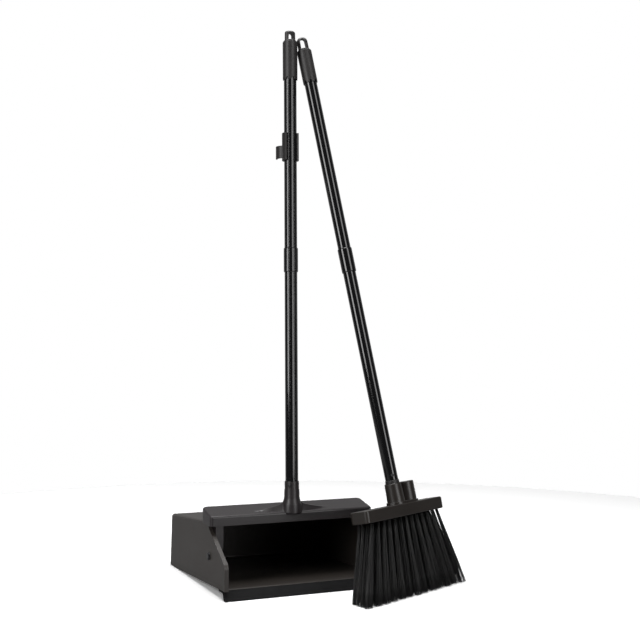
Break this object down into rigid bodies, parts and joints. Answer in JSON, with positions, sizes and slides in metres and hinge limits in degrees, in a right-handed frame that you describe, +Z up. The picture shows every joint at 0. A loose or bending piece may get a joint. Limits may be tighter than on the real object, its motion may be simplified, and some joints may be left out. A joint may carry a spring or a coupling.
{
  "type": "lobby dust pan and broom set",
  "caption": "Upright dust pan with a hinged hood and a tall two-piece handle, and a long-handled angled broom leaning beside it.",
  "frame": {"origin": "on the floor, under the flat heel at the back of the bin's underside, 40 mm ahead of its back wall, on the pan's centre plane", "axes": "+Z up, -Y out of the bin's mouth, +X to the side the broom leans on"},
  "size_m": [0.4389, 0.4474, 0.9581],
  "materials": {
    "bin_plastic": "moulded black polypropylene, fine satin texture",
    "hood_plastic": "moulded black polypropylene, satin",
    "lip_rubber": "soft black strip, matte",
    "tube_paint": "gloss black coating on thin steel tube",
    "grip_plastic": "moulded black plastic, satin",
    "block_plastic": "moulded black plastic, satin",
    "bristle": "black synthetic bristle",
    "dark_steel": "blackened steel"
  },
  "bodies": {
    "bin": {"pan_bin": "bin_plastic", "pan_lip": "lip_rubber", "pivot_pin_left": "dark_steel", "pivot_pin_right": "dark_steel", "pivot_clip_left": "dark_steel", "pivot_clip_right": "dark_steel"},
    "handle": {"hood": "hood_plastic", "socket_screw": "dark_steel", "pan_lower_tube": "tube_paint", "pan_tube_sleeve": "tube_paint", "pan_joint_plug": "grip_plastic", "pan_upper_tube": "tube_paint", "pan_grip": "grip_plastic", "pan_hang_cap": "grip_plastic"},
    "clip": {"broom_clip": "grip_plastic"},
    "broom": {"broom_block": "block_plastic", "broom_thread_tip": "grip_plastic", "tip_rivet": "dark_steel", "broom_lower_tube": "tube_paint", "broom_tube_sleeve": "tube_paint", "broom_joint_plug": "grip_plastic", "broom_upper_tube": "tube_paint", "broom_grip": "grip_plastic", "broom_hang_cap": "grip_plastic", "bristle_row_1": "bristle", "bristle_row_2": "bristle", "bristle_row_3": "bristle", "bristle_row_4": "bristle"}
  },
  "joints": [
    {"name": "handle_tilt", "type": "hinge", "parent": "bin", "child": "handle", "pos_m": [0, -0.195, 0.058], "axis": [1, 0, 0], "range_deg": [0, 55]},
    {"name": "clip_slide", "type": "slide", "parent": "handle", "child": "clip", "axis": [0, 0.0253, 0.9997], "range_m": [-0.14, 0.085]},
    {"name": "broom_lift", "type": "slide", "parent": "bin", "child": "broom", "axis": [0, 0, 1], "range_m": [0, 0.3]}
  ]
}
